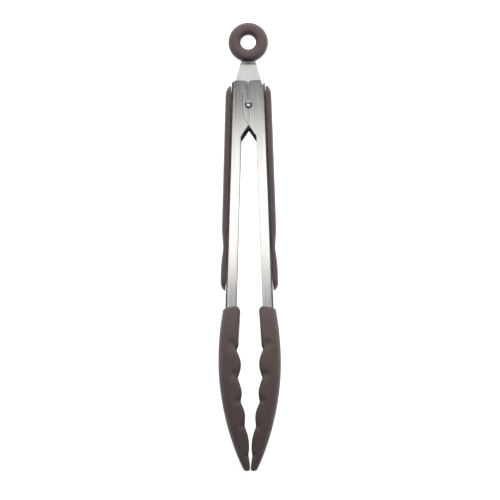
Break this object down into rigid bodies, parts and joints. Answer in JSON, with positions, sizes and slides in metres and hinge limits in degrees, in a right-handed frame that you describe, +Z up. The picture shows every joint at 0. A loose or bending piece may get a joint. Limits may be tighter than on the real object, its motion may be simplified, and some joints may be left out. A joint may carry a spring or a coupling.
{
  "type": "kitchen tongs",
  "caption": "Locking kitchen tongs: steel channel arms on a sprung pivot, lobed silicone heads, soft grips and a pull tab lock with a hanging ring.",
  "frame": {"origin": "middle of the length and width, on the surface that the heads lie on", "axes": "+Y along the tongs from the tips to the hanging ring, X the way the arms open, +Z up, along the pivot pin"},
  "size_m": [0.0366, 0.2689, 0.034],
  "materials": {
    "brushed_steel": "brushed along the arm",
    "tab_steel": "brushed along the tab",
    "plain_steel": "satin",
    "soft_grip": "matte",
    "silicone": "matte",
    "ring_skin": "matte",
    "hard_core": "matte"
  },
  "bodies": {
    "pivot": {"pivot_pin": "plain_steel", "pivot_washer": "plain_steel", "pivot_bush": "hard_core", "torsion_spring": "plain_steel"},
    "left_arm": {"arm_left": "brushed_steel", "grip_left": "soft_grip", "grip_carrier_left": "hard_core", "grip_clips_left": "plain_steel", "head_left": "silicone", "head_core_left": "hard_core", "head_rivets_left": "plain_steel"},
    "right_arm": {"arm_right": "brushed_steel", "grip_right": "soft_grip", "grip_carrier_right": "hard_core", "grip_clips_right": "plain_steel", "head_right": "silicone", "head_core_right": "hard_core", "head_rivets_right": "plain_steel"},
    "tab": {"lock_tab": "tab_steel", "ring_core": "hard_core", "hang_ring": "ring_skin"}
  },
  "joints": [
    {"name": "arm_right_hinge", "type": "hinge", "parent": "pivot", "child": "right_arm", "pos_m": [0, 0.08175, 0.017], "axis": [0, 0, 1], "range_deg": [0, 15]},
    {"name": "arm_left_hinge", "type": "hinge", "parent": "pivot", "child": "left_arm", "pos_m": [0, 0.08175, 0.017], "axis": [0, 0, -1], "range_deg": [0, 15]},
    {"name": "tab_slide", "type": "slide", "parent": "pivot", "child": "tab", "axis": [0, -1, 0], "range_m": [0, 0.012]}
  ],
  "couplings": [
    {"joint": "arm_left_hinge", "follows": "arm_right_hinge", "ratio": 1},
    {"joint": "tab_slide", "follows": "arm_right_hinge", "m_per_rad": 0.0458}
  ]
}
